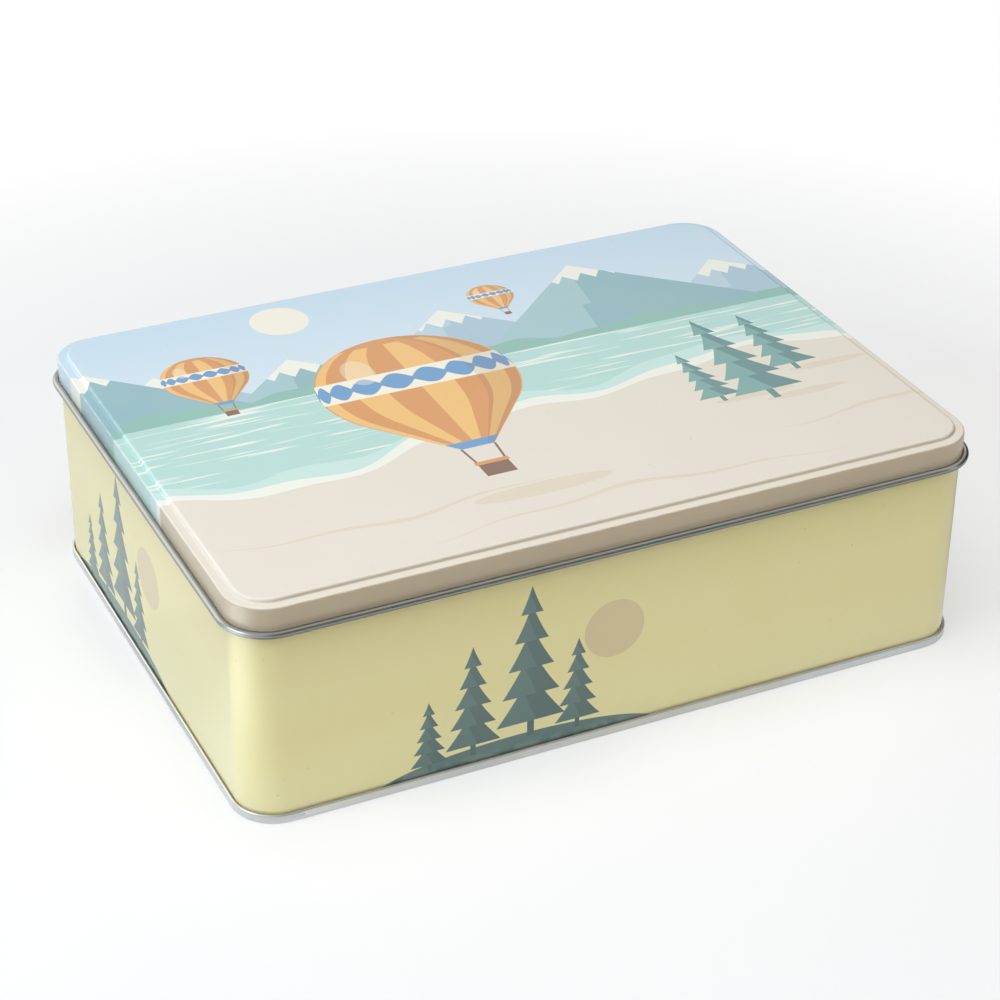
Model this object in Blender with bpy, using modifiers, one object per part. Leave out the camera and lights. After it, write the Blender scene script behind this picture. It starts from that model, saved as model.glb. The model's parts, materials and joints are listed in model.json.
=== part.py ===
"""A rectangular storage tin with a lift-off lid, in the three pieces that it is pressed and seamed from.

Metres, +Z up. The origin is on the table under the middle of the tin, +X runs along the long side and
+Y away from the front. Every piece is one sheet of tinplate. Its middle surface is a section carried
round the tin's plan, and Solidify gives the sheet its thickness. In a section the first number is the
distance outward from the line that it is carried along, and the second is the height.
"""

import math

import bmesh
import bpy

# Tinplate, and the gap between two layers of it in a fold
SHEET = 0.00022
FOLD_GAP = 0.00015
PITCH = SHEET + FOLD_GAP

# Body wall, measured over its outside faces and from the table to the top of its curl
BODY_LENGTH = 0.2561
BODY_WIDTH = 0.1870
BODY_HEIGHT = 0.0781
CORNER_RADIUS = 0.0135
BODY_CURL_RADIUS = 0.0012

# Folded side seam that closes the body's strip, on the back wall and inside it
SIDE_SEAM_FROM_CORNER = 0.0240
SIDE_SEAM_WIDTH = 0.0045
SIDE_SEAM_END_CLEARANCE = 0.0012
SIDE_SEAM_NOTCH = 0.0004

# Lid
LID_CLEARANCE = 0.00045
LID_SEAT_GAP = 0.0003
LID_DEPTH = 0.0102
LID_CURL_RADIUS = 0.0011
SHOULDER_RADIUS = 0.0011
MARGIN_WIDTH = 0.0030
PANEL_RISE = 0.0010
PANEL_RISER_RUN = 0.0007
PANEL_FOOT_RADIUS = 0.0004
PANEL_EDGE_RADIUS = 0.0008

# Base plate, and the double seam that holds it to the body wall
SEAM_HEIGHT = 0.0033
SEAM_FOOT_RADIUS = 0.0004
HOOK_TIP_CLEARANCE = 0.0003
BASE_RECESS = 0.0042
BASE_EDGE_RADIUS = 0.0009
BASE_STEP_INSET = 0.0080
BASE_STEP_RISE = 0.0009
BASE_STEP_RUN = 0.0010
BASE_STEP_RADIUS = 0.0006

# Turns and facets of the round stretches
CURL_TURN = math.radians(300)
CURL_STEPS = 10
CORNER_STEPS = 10
BEND_STEP = math.radians(31)
SHARP_ANGLE = math.radians(50)
WELD_DISTANCE = 0.000002

COLLECTION = "storage_tin"


def new_material(name, colour, roughness, metallic):
    """A Principled material with one colour."""
    material = bpy.data.materials.new(name)
    material.use_nodes = True
    shader = material.node_tree.nodes["Principled BSDF"]
    shader.inputs["Base Color"].default_value = (*colour, 1.0)
    shader.inputs["Roughness"].default_value = roughness
    shader.inputs["Metallic"].default_value = metallic
    return material


def arc(centre, radius, start, turn, steps):
    """Points on an arc about centre, from the angle start through the signed angle turn."""
    angles = [start + turn * step / steps for step in range(steps + 1)]
    return [(centre[0] + radius * math.cos(angle), centre[1] + radius * math.sin(angle)) for angle in angles]


def without_repeats(points):
    """The points, leaving out each one that repeats the one before, as where two bends meet."""
    kept = points[:1]
    for point in points[1:]:
        if math.dist(point, kept[-1]) > WELD_DISTANCE:
            kept.append(point)
    return kept


def bent_line(start, corners, end):
    """A line from start to end through corners of (x, y, radius), each rounded by an arc tangent to it."""
    places = [start, *corners, end]
    points = [start]
    for before, corner, after in zip(places, corners, places[2:]):
        x, y, radius = corner
        backward = math.atan2(before[1] - y, before[0] - x)
        forward = math.atan2(after[1] - y, after[0] - x)
        turn = math.remainder(forward - backward - math.pi, math.tau)
        setback = radius * math.tan(abs(turn) / 2)
        from_centre = backward + math.copysign(math.pi / 2, turn)
        centre = (
            x + setback * math.cos(backward) - radius * math.cos(from_centre),
            y + setback * math.sin(backward) - radius * math.sin(from_centre),
        )
        steps = max(2, math.ceil(abs(turn) / BEND_STEP))
        points += arc(centre, radius, from_centre, turn, steps)
    points.append(end)
    return without_repeats(points)


def corner_arcs(outset):
    """The plan's four corner arcs, clockwise from the back right, outset from the body's outside face."""
    run_x = BODY_LENGTH / 2 - CORNER_RADIUS
    run_y = BODY_WIDTH / 2 - CORNER_RADIUS
    centres = ((run_x, run_y), (run_x, -run_y), (-run_x, -run_y), (-run_x, run_y))
    points = []
    for quarter, centre in enumerate(centres):
        start = math.pi / 2 * (1 - quarter)
        points += arc(centre, CORNER_RADIUS + outset, start, -math.pi / 2, CORNER_STEPS)
    return points


def line_object(name, points, closed):
    """A flat curve object of straight runs through the points."""
    curve = bpy.data.curves.new(name, "CURVE")
    curve.dimensions = "2D"
    curve.fill_mode = "NONE"
    spline = curve.splines.new("POLY")
    spline.points.add(len(points) - 1)
    for place, (x, y) in zip(spline.points, points):
        place.co = (x, y, 0, 1)
    spline.use_cyclic_u = closed
    line = bpy.data.objects.new(name, curve)
    bpy.context.scene.collection.objects.link(line)
    return line


def carry(shape, section, path, closed=False):
    """Adds to the bmesh shape the surface that a section makes when it is carried along a plan path.

    The path runs clockwise, and there a bevel profile's +X side lies inward.
    """
    rail = line_object("rail", path, closed)
    profile = line_object("profile", [(-outward, up) for outward, up in section], closed=False)
    rail.data.bevel_mode = "OBJECT"
    rail.data.bevel_object = profile
    bpy.context.view_layer.update()
    graph = bpy.context.evaluated_depsgraph_get()
    mesh = bpy.data.meshes.new_from_object(rail.evaluated_get(graph))
    shape.from_mesh(mesh)
    bpy.data.objects.remove(rail)
    bpy.data.objects.remove(profile)
    bpy.data.meshes.remove(mesh)


def close_panel(shape, height):
    """Closes the rim at one height with a flat panel."""
    bmesh.ops.remove_doubles(shape, verts=shape.verts, dist=WELD_DISTANCE)
    rim = [
        edge
        for edge in shape.edges
        if edge.is_boundary and all(abs(vert.co.z - height) < WELD_DISTANCE for vert in edge.verts)
    ]
    bmesh.ops.contextual_create(shape, geom=rim)


def sheet_metal(name, shape, material, collection):
    """An object of one sheet of tinplate, whose middle surface is the bmesh shape."""
    bmesh.ops.remove_doubles(shape, verts=shape.verts, dist=WELD_DISTANCE)
    bmesh.ops.recalc_face_normals(shape, faces=shape.faces)
    mesh = bpy.data.meshes.new(name)
    shape.to_mesh(mesh)
    shape.free()
    mesh.materials.append(material)
    mesh.shade_smooth()
    mesh.set_sharp_from_angle(angle=SHARP_ANGLE)
    piece = bpy.data.objects.new(name, mesh)
    collection.objects.link(piece)
    gauge = piece.modifiers.new("gauge", "SOLIDIFY")
    gauge.thickness = SHEET
    gauge.offset = 0
    gauge.use_even_offset = True
    return piece


def body_foot_section():
    """The body's edge inside the double seam: from the tip of its hook, round the fold, to the wall."""
    hook = 2 * PITCH
    fold = SHEET / 2 + PITCH
    tip = SEAM_HEIGHT - SHEET - HOOK_TIP_CLEARANCE
    corners = [(hook, fold, PITCH), (0, fold, PITCH)]
    return bent_line((hook, tip), corners, (0, side_seam_bottom()))


def body_curl_section():
    """The body's top edge, curled in on itself under the lid."""
    centre = (-BODY_CURL_RADIUS, BODY_HEIGHT - SHEET / 2 - BODY_CURL_RADIUS)
    return [(0, side_seam_top()), *arc(centre, BODY_CURL_RADIUS, 0, CURL_TURN, CURL_STEPS)]


def side_seam_bottom():
    """Where the body's plain wall starts above the base plate's panel."""
    return BASE_RECESS + SHEET + BASE_STEP_RISE + SIDE_SEAM_END_CLEARANCE


def side_seam_top():
    """Where the body's plain wall ends below the curl."""
    return BODY_HEIGHT - SHEET - 2 * BODY_CURL_RADIUS - SHEET / 2 - SIDE_SEAM_END_CLEARANCE


def make_body_wall(material, collection):
    """One strip bent round the four corners, with its ends hooked together in the side seam.

    Past a notch at each end of the hooks, the ends butt against each other.
    """
    wall_y = BODY_WIDTH / 2 - SHEET / 2
    left_end = BODY_LENGTH / 2 - CORNER_RADIUS - SIDE_SEAM_FROM_CORNER
    right_end = left_end + 3 * PITCH
    left_hook = bent_line(
        (left_end, wall_y),
        [(left_end + PITCH, wall_y, PITCH), (left_end + PITCH, wall_y - 2 * PITCH, PITCH)],
        (left_end - SIDE_SEAM_WIDTH + HOOK_TIP_CLEARANCE, wall_y - 2 * PITCH),
    )
    fold = left_end - SIDE_SEAM_WIDTH - PITCH
    right_hook = bent_line(
        (right_end, wall_y),
        [
            (left_end + 2 * PITCH, wall_y, PITCH),
            (left_end + 2 * PITCH, wall_y - 3 * PITCH, 2 * PITCH),
            (fold, wall_y - 3 * PITCH, PITCH),
            (fold, wall_y - PITCH, PITCH),
        ],
        (left_end - HOOK_TIP_CLEARANCE, wall_y - PITCH),
    )
    strip = [(right_end, wall_y), *corner_arcs(-SHEET / 2), (left_end, wall_y)]
    butt = [(left_end, wall_y), (right_end - PITCH, wall_y)]
    bottom = side_seam_bottom()
    top = side_seam_top()
    seam = [(0, bottom + SIDE_SEAM_NOTCH), (0, top - SIDE_SEAM_NOTCH)]

    shape = bmesh.new()
    carry(shape, [*body_foot_section(), *seam, *body_curl_section()], strip)
    carry(shape, seam, left_hook)
    carry(shape, seam, right_hook)
    carry(shape, body_foot_section(), butt)
    carry(shape, body_curl_section(), butt)
    return sheet_metal("body_wall", shape, material, collection)


def make_base_plate(material, collection):
    """A pan pressed up into the body, with its edge folded round the body's hook."""
    foot = SHEET / 2
    crown = SEAM_HEIGHT - SHEET / 2
    panel = BASE_RECESS + SHEET / 2
    field = panel + BASE_STEP_RISE
    step = -PITCH - BASE_STEP_INSET
    tip = SHEET + PITCH + HOOK_TIP_CLEARANCE
    corners = [
        (PITCH, crown, PITCH),
        (3 * PITCH, crown, PITCH),
        (3 * PITCH, foot, SEAM_FOOT_RADIUS),
        (-PITCH, foot, SEAM_FOOT_RADIUS),
        (-PITCH, panel, BASE_EDGE_RADIUS),
        (step, panel, BASE_STEP_RADIUS),
        (step - BASE_STEP_RUN, field, BASE_STEP_RADIUS),
    ]
    section = bent_line((PITCH, tip), corners, (step - BASE_STEP_RUN - BASE_STEP_RADIUS, field))
    shape = bmesh.new()
    carry(shape, section, corner_arcs(-SHEET / 2), closed=True)
    close_panel(shape, field)
    return sheet_metal("base_plate", shape, material, collection)


def make_lid(material, collection):
    """A pan that slips over the body: raised panel, flat margin, skirt, and an edge curled outward."""
    margin = SHEET / 2
    panel = margin + PANEL_RISE
    curl = (LID_CURL_RADIUS, SHEET + LID_CURL_RADIUS + SHEET / 2 - LID_DEPTH)
    corners = [
        (-MARGIN_WIDTH - PANEL_RISER_RUN, panel, PANEL_EDGE_RADIUS),
        (-MARGIN_WIDTH, margin, PANEL_FOOT_RADIUS),
        (0, margin, SHOULDER_RADIUS),
    ]
    start = (-MARGIN_WIDTH - PANEL_RISER_RUN - PANEL_EDGE_RADIUS, panel)
    section = bent_line(start, corners, (0, curl[1]))
    section += arc(curl, LID_CURL_RADIUS, math.pi, CURL_TURN, CURL_STEPS)[1:]
    shape = bmesh.new()
    carry(shape, section, corner_arcs(LID_CLEARANCE + SHEET / 2), closed=True)
    close_panel(shape, panel)
    lid = sheet_metal("lid", shape, material, collection)
    lid.location.z = BODY_HEIGHT + LID_SEAT_GAP
    return lid


def main():
    for leftover in list(bpy.data.objects):
        bpy.data.objects.remove(leftover)
    tin = bpy.data.collections.new(COLLECTION)
    bpy.context.scene.collection.children.link(tin)
    make_body_wall(new_material("pale_yellow_print", (0.66, 0.60, 0.35), 0.38, 0.0), tin)
    make_base_plate(new_material("bare_tinplate", (0.55, 0.55, 0.52), 0.32, 1.0), tin)
    make_lid(new_material("pale_blue_print", (0.58, 0.73, 0.79), 0.36, 0.0), tin)


main()
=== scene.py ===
# %% [markdown]
# # A printed storage tin
# The CAD model holds the tin's real sizes and the way its lid lifts off. This lesson dresses it. The three
# sheets are made again with smooth bends and corners, the print is drawn by shader maths, and a plain studio
# is set round it. Everything is in metres, +Z is up, and the middle of the tin's foot is at the origin.

# %% Load the frame
import json
import math

import bmesh
import bpy
import numpy as np
from mathutils import Matrix, Vector

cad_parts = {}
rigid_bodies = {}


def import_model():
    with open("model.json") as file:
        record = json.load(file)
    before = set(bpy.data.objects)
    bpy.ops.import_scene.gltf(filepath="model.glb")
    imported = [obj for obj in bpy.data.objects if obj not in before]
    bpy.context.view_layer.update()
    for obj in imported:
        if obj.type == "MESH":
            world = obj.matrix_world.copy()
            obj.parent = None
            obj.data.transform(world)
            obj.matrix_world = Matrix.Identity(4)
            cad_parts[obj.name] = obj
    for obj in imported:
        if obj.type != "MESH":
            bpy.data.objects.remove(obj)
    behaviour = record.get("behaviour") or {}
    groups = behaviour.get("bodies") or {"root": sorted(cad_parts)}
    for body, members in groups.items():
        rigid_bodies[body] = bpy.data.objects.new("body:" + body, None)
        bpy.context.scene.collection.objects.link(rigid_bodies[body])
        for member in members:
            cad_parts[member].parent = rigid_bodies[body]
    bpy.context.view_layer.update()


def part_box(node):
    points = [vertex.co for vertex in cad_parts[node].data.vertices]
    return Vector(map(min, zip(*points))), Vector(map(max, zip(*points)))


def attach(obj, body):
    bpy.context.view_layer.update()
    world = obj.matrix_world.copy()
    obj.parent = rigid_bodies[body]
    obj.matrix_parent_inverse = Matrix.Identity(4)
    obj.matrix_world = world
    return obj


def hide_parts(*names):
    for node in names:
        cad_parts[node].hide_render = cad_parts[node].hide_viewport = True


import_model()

# %% [markdown]
# ## Sizes
# The outside sizes are read from the CAD boxes, so the scene follows the model. Only the gauge of the
# tinplate, the radii of its bends and the heights inside the seams are written here, because a box does not
# show them. Two layers of sheet that are folded together lie one pitch apart.

# %% Sizes of the sheet metal
SHEET = 0.00022
FOLD_GAP = 0.00015
PITCH = SHEET + FOLD_GAP
CORNER_RADIUS = 0.0135
BODY_CURL_RADIUS = 0.0012
LID_CURL_RADIUS = 0.0011
LID_CLEARANCE = 0.00045
SHOULDER_RADIUS = 0.0006
MARGIN_WIDTH = 0.0030
PANEL_RISE = 0.0013
PANEL_RISER_RUN = 0.0005
PANEL_FOOT_RADIUS = 0.00025
PANEL_EDGE_RADIUS = 0.0010
SEAM_HEIGHT = 0.0033
SEAM_FOOT_RADIUS = 0.0004
HOOK_TIP_CLEARANCE = 0.0003
BASE_RECESS = 0.0042
BASE_EDGE_RADIUS = 0.0009
BASE_STEP_INSET = 0.0080
BASE_STEP_RISE = 0.0009
BASE_STEP_RUN = 0.0010
BASE_STEP_RADIUS = 0.0006
SIDE_SEAM_FROM_CORNER = 0.0240
SIDE_SEAM_WIDTH = 0.0045
SIDE_SEAM_END_CLEARANCE = 0.0012
SIDE_SEAM_NOTCH = 0.0004

lid_low, lid_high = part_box("lid")
body_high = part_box("body_wall")[1]
lid_reach = 2 * LID_CURL_RADIUS + SHEET / 2
lid_half = (lid_high.x - lid_reach, lid_high.y - lid_reach)
lid_corner = CORNER_RADIUS + LID_CLEARANCE + SHEET / 2
lid_gap = LID_CLEARANCE + SHEET / 2
body_half = (lid_half[0] - lid_gap, lid_half[1] - lid_gap)
print("half plan of the skirt:", np.round(lid_half, 5), "and of the body:", np.round(body_half, 5))

# %% [markdown]
# ## A bent strip
# Each sheet of the tin has the same kind of section: straight runs joined by round bends. It could be typed
# as points, but a turtle's path says it better, as a list of lengths and turns. The same path draws the
# tin's plan, which is four straight walls and four quarter circles.

# %% Lines of straight runs and arcs
BEND_STEP = math.radians(7.5)


def bent_strip(start, heading, bends):
    """The centre line of a strip that is bent in one plane, as its points and its headings.

    A bend is (length, turn). Along it the heading grows evenly, from h to h + turn. A step of length ds that
    turns by dh covers a chord of ds sin(dh / 2) / (dh / 2), in the direction halfway between its headings.
    """
    lengths, turns = np.array(bends).T
    knots = np.concatenate([[0], np.cumsum(lengths)])
    headings = heading + np.concatenate([[0], np.cumsum(turns)])
    steps = np.maximum(1, np.ceil(np.abs(turns) / BEND_STEP)).astype(int)
    stretches = [np.linspace(*ends, count, endpoint=False) for *ends, count in zip(knots, knots[1:], steps)]
    along = np.append(np.concatenate(stretches), knots[-1])
    facing = np.interp(along, knots, headings)
    turned = np.diff(facing)
    chord = np.diff(along) * np.sinc(turned / math.tau)
    halfway = facing[:-1] + turned / 2
    travelled = np.cumsum(chord[:, None] * np.stack([np.cos(halfway), np.sin(halfway)], axis=1), axis=0)
    points = np.vstack([np.zeros(2), travelled]) + np.array(start)
    return points, facing


def bend(radius, turn):
    """A bend of a given radius, as (length, turn)."""
    return radius * abs(turn), turn


def run(length):
    """A straight run, as (length, turn)."""
    return length, 0


def left_of(facing):
    """Unit vectors a quarter turn to the left of each heading."""
    return np.stack([-np.sin(facing), np.cos(facing)], axis=1)


QUARTER = math.pi / 2


def plan(half, corner, start_x=0.0, end_x=0.0):
    """A rectangle with round corners, clockwise from start_x on the back wall to end_x on the same wall."""
    run_x = half[0] - corner
    run_y = half[1] - corner
    turn = bend(corner, -QUARTER)
    sides = [run(run_x - start_x), turn, run(2 * run_y), turn, run(2 * run_x), turn, run(2 * run_y), turn]
    return bent_strip((start_x, half[1]), 0, [*sides, run(run_x + end_x)])


wall_half = (body_half[0] - SHEET / 2, body_half[1] - SHEET / 2)
wall_corner = CORNER_RADIUS - SHEET / 2
lid_plan = plan(lid_half, lid_corner)
wall_plan = plan(wall_half, wall_corner)
print("lid plan:", len(lid_plan[0]), "points; it closes to within", np.abs(lid_plan[0][0] - lid_plan[0][-1]).max())

# %% [markdown]
# ## The middle of a sheet
# A press draws a sheet over a tool, so its section is the same all round the tin. Carrying one section round
# a plan gives the same surface: every point of the section meets every point of the plan, in one product of
# two arrays. The lid and the base also have a flat panel, which is their first loop shrunk to the middle.

# %% The middle surface
def carried(section, line):
    """The middle surface that a section sweeps along a plan line, and its normals, as two grids.

    A section point (d, z) with normal (a, b), carried past a plan point p whose outward direction is o, lands at
    (p + d o, z), and its normal there is (a o, b).
    """
    (profile, slope), (path, facing) = section, line
    outward = left_of(facing)
    tilt = left_of(slope)
    count = (len(profile), len(path), 1)
    flat = path[None] + profile[:, None, :1] * outward[None]
    middle = np.concatenate([flat, np.broadcast_to(profile[:, None, 1:], count)], axis=2)
    normals = np.concatenate([tilt[:, None, :1] * outward[None], np.broadcast_to(tilt[:, None, 1:], count)], axis=2)
    return middle, normals


def with_floor(middle, normals, rings=12):
    """Closes the first loop of a surface with a flat panel: loops of its own shape, shrunk from 1 to 0."""
    shares = np.linspace(0, 1, rings, endpoint=False)[:, None, None]
    floor = middle[:1] * np.concatenate([shares, shares, np.ones_like(shares)], axis=2)
    return np.concatenate([floor, middle]), np.concatenate([np.repeat(normals[:1], rings, axis=0), normals])


sample = carried(bent_strip((0, 0), QUARTER, [run(SEAM_HEIGHT)]), lid_plan)[0]
print("a straight section gives a grid of", sample.shape[:2], "points, up to", sample[-1, 0, 2])

# %% [markdown]
# ## Two faces
# Tinplate has two faces, and they are finished differently: the outside is printed and the inside is bare.
# A Solidify modifier could give the sheet its thickness, but then both faces would share one slot. So the
# middle surface is moved half a gauge to each side, and the two faces are joined by rims along the cut edges.

# %% Faces and their material slots
PRINTED, BARE = 0, 1


def two_faces(middle, normals, rims, ink_over=None, ink_under=None):
    """The corners, four-sided faces and material slots of a sheet whose middle surface is a grid.

    Its faces lie at middle + n t / 2 and middle - n t / 2, for a gauge t. rims names the edges of the grid that
    are cut edges of the sheet. An ink range holds the rows of the grid between which that face is printed.
    """
    rows, columns = middle.shape[:2]
    corners = np.concatenate([(middle + normals * SHEET / 2), (middle - normals * SHEET / 2)]).reshape(-1, 3)
    over = np.arange(rows * columns).reshape(rows, columns)
    under = over + rows * columns
    quads = np.stack([over[:-1, :-1], over[:-1, 1:], over[1:, 1:], over[1:, :-1]], axis=2)
    edges = {"first": over[0], "last": over[-1], "left": over[:, 0], "right": over[:, -1]}
    sides = [edges[name] for name in rims]
    walls = [np.stack([e[:-1], e[1:], e[1:] + under[0, 0], e[:-1] + under[0, 0]], axis=1) for e in sides]
    slots = []
    for ink in (ink_over, ink_under):
        slot = np.full((rows - 1, columns - 1), BARE)
        if ink:
            slot[ink[0]:ink[1]] = PRINTED
        slots.append(slot.ravel())
    faces = np.concatenate([quads.reshape(-1, 4), quads.reshape(-1, 4) + under[0, 0], *walls])
    slots.append(np.full(len(faces) - 2 * slots[0].size, BARE))
    return corners, faces, np.concatenate(slots)


print("material slots: printed", PRINTED, "and bare", BARE)

# %% [markdown]
# ## A mesh from sheets
# A grid that runs round the tin meets itself at the end of its plan, and all of a panel's middle points fall
# on one place. Welding closes both. A wide flat face next to a narrow bend would be shaded as if it bulged,
# so a modifier weights the normals by area, and only edges sharper than a fold stay sharp.

# %% Weld and shade the sheets
WELD = 0.000001
SHARP_ANGLE = math.radians(50)


def sheet_metal(name, sheets):
    """A mesh object of one or more sheets. Each is welded where its grid meets itself, and turned to face out."""
    joined = bmesh.new()
    for corners, faces, slots in sheets:
        mesh = bpy.data.meshes.new(name)
        mesh.from_pydata(corners.tolist(), [], faces.tolist())
        mesh.polygons.foreach_set("material_index", slots.astype(np.int32))
        sheet = bmesh.new()
        sheet.from_mesh(mesh)
        bmesh.ops.remove_doubles(sheet, verts=sheet.verts, dist=WELD)
        bmesh.ops.recalc_face_normals(sheet, faces=sheet.faces)
        sheet.to_mesh(mesh)
        sheet.free()
        joined.from_mesh(mesh)
        bpy.data.meshes.remove(mesh)
    mesh = bpy.data.meshes.new(name)
    open_edges = sum(not edge.is_manifold for edge in joined.edges)
    joined.to_mesh(mesh)
    joined.free()
    mesh.shade_smooth()
    mesh.set_sharp_from_angle(angle=SHARP_ANGLE)
    piece = bpy.data.objects.new(name, mesh)
    bpy.context.scene.collection.objects.link(piece)
    shading = piece.modifiers.new("shade_by_area", "WEIGHTED_NORMAL")
    shading.keep_sharp = True
    print(name, "has", len(mesh.polygons), "faces and", open_edges, "open edges")
    return piece


# %% [markdown]
# ## The lid
# The lid is one sheet, drawn over a punch. From its middle outward it is a flat panel, a short slope down to
# a flat margin, a round shoulder and a skirt, and the skirt's edge is rolled outward into a curl that is
# left bare.

# %% Make the lid
CURL_TURN = math.radians(318)
SKIRT_INK_STOP = 0.0004


def step_bends(rise, across, lower_radius, upper_radius):
    """The angle and straight slope of a step between two level runs, and how far its bends reach into the runs.

    The slope's angle is atan(rise / across), and each bend takes up its radius times tan(angle / 2).
    """
    angle = math.atan2(rise, across)
    upper_setback = upper_radius * math.tan(angle / 2)
    lower_setback = lower_radius * math.tan(angle / 2)
    slope = math.hypot(rise, across) - upper_setback - lower_setback
    return angle, slope, upper_setback, lower_setback


angle, slope, upper_setback, lower_setback = step_bends(
    PANEL_RISE, PANEL_RISER_RUN, PANEL_FOOT_RADIUS, PANEL_EDGE_RADIUS
)
panel_height = lid_high.z - SHEET / 2
margin_height = panel_height - PANEL_RISE
curl_height = lid_low.z + SHEET / 2 + LID_CURL_RADIUS
skirt_drop = margin_height - SHOULDER_RADIUS - curl_height
lid_section = bent_strip(
    (-MARGIN_WIDTH - PANEL_RISER_RUN - upper_setback, panel_height),
    0,
    [
        bend(PANEL_EDGE_RADIUS, -angle),
        run(slope),
        bend(PANEL_FOOT_RADIUS, angle),
        run(MARGIN_WIDTH - lower_setback - SHOULDER_RADIUS),
        bend(SHOULDER_RADIUS, -QUARTER),
        run(skirt_drop - SKIRT_INK_STOP),
        run(SKIRT_INK_STOP),
        bend(LID_CURL_RADIUS, CURL_TURN),
    ],
)
lid_middle, lid_normals = with_floor(*carried(lid_section, lid_plan))
curl_rows = int(np.ceil(CURL_TURN / BEND_STEP))
lid = sheet_metal(
    "printed_lid", [two_faces(lid_middle, lid_normals, ["last"], ink_over=(0, len(lid_middle) - curl_rows - 2))]
)

# %% [markdown]
# ## The base plate
# The foot of the tin is a second pan, pressed up into the body. Its edge goes down inside the wall, turns
# out under it, comes up outside and folds down again round the wall's own hook. That fold is the double
# seam, the bright ring that the tin stands on. The base is bare on both faces.

# %% Make the base plate
base_angle, base_slope, base_upper, base_lower = step_bends(
    BASE_STEP_RISE, BASE_STEP_RUN, BASE_STEP_RADIUS, BASE_STEP_RADIUS
)
foot = SHEET / 2
crown = SEAM_HEIGHT - SHEET / 2
base_panel = BASE_RECESS + SHEET / 2
hook_tip = SHEET + PITCH + HOOK_TIP_CLEARANCE
base_section = bent_strip(
    (-PITCH - BASE_STEP_INSET - BASE_STEP_RUN - base_upper, base_panel + BASE_STEP_RISE),
    0,
    [
        bend(BASE_STEP_RADIUS, -base_angle),
        run(base_slope),
        bend(BASE_STEP_RADIUS, base_angle),
        run(BASE_STEP_INSET - base_lower - BASE_EDGE_RADIUS),
        bend(BASE_EDGE_RADIUS, -QUARTER),
        run(base_panel - foot - BASE_EDGE_RADIUS - SEAM_FOOT_RADIUS),
        bend(SEAM_FOOT_RADIUS, QUARTER),
        run(4 * PITCH - 2 * SEAM_FOOT_RADIUS),
        bend(SEAM_FOOT_RADIUS, QUARTER),
        run(crown - foot - SEAM_FOOT_RADIUS - PITCH),
        bend(PITCH, math.pi),
        run(crown - PITCH - hook_tip),
    ],
)
base = sheet_metal("seamed_base", [two_faces(*with_floor(*carried(base_section, wall_plan)), ["last"])])

# %% [markdown]
# ## The body
# The wall is one strip, bent round the four corners, with its top edge curled inward and its lower edge
# hooked into the seam. Its two ends are hooked together on the back wall. Seen from above, each hook is a
# bent strip too, so each of them is a straight section carried along its own plan line. Below the hooks and
# in the curl the ends only butt.

# %% Make the body
wall_y = wall_half[1]
left_end = body_half[0] - CORNER_RADIUS - SIDE_SEAM_FROM_CORNER
right_end = left_end + 3 * PITCH
seam_bottom = BASE_RECESS + SHEET + BASE_STEP_RISE + SIDE_SEAM_END_CLEARANCE
seam_top = body_high.z - 1.5 * SHEET - 2 * BODY_CURL_RADIUS - SIDE_SEAM_END_CLEARANCE
curl_start = body_high.z - SHEET / 2 - BODY_CURL_RADIUS
fold_centre = SHEET / 2 + 2 * PITCH
body_hook_tip = SEAM_HEIGHT - SHEET - HOOK_TIP_CLEARANCE
foot_bends = [run(body_hook_tip - fold_centre), bend(PITCH, -math.pi), run(seam_bottom - fold_centre)]
curl_bends = [run(curl_start - seam_top), bend(BODY_CURL_RADIUS, CURL_TURN)]
whole_section = bent_strip(
    (2 * PITCH, body_hook_tip), -QUARTER, [*foot_bends, run(seam_top - seam_bottom), *curl_bends]
)
foot_section = bent_strip((2 * PITCH, body_hook_tip), -QUARTER, foot_bends)
curl_section = bent_strip((0, seam_top), QUARTER, curl_bends)
seam_section = bent_strip(
    (0, seam_bottom + SIDE_SEAM_NOTCH), QUARTER, [run(seam_top - seam_bottom - 2 * SIDE_SEAM_NOTCH)]
)
strip = plan(wall_half, wall_corner, start_x=right_end, end_x=left_end)
butt = bent_strip((left_end, wall_y), 0, [run(2 * PITCH)])
left_hook = bent_strip(
    (left_end, wall_y), 0, [bend(PITCH, -math.pi), run(SIDE_SEAM_WIDTH - HOOK_TIP_CLEARANCE)]
)
right_hook = bent_strip(
    (right_end, wall_y),
    -math.pi,
    [
        bend(PITCH, QUARTER),
        bend(2 * PITCH, -QUARTER),
        run(SIDE_SEAM_WIDTH),
        bend(PITCH, -math.pi),
        run(SIDE_SEAM_WIDTH - HOOK_TIP_CLEARANCE),
    ],
)
all_rims = ["first", "last", "left", "right"]
body = sheet_metal(
    "printed_body",
    [
        two_faces(*carried(whole_section, strip), all_rims, ink_under=(0, None)),
        two_faces(*carried(seam_section, left_hook), all_rims, ink_under=(0, None)),
        two_faces(*carried(seam_section, right_hook), all_rims, ink_over=(0, None)),
        two_faces(*carried(foot_section, butt), all_rims, ink_under=(0, None)),
        two_faces(*carried(curl_section, butt), all_rims, ink_under=(0, None)),
    ],
)

# %% [markdown]
# ## Shader maths as Python
# The print is a drawing, and each shape in it is a formula of the place on the sheet. Written as nodes by
# hand, that would be hundreds of lines of links. A small class wraps a socket instead, and its operators
# add the Math nodes, so a formula reads as a formula. Every other kind of node comes from one method.

# %% A socket with operators
def math_method(operation, order=1):
    """A method of Wire that adds one kind of Math node. With order -1 the node takes its values backwards."""

    def method(self, *others):
        return self.maths(operation, *(self, *others)[::order])

    return method


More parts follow.
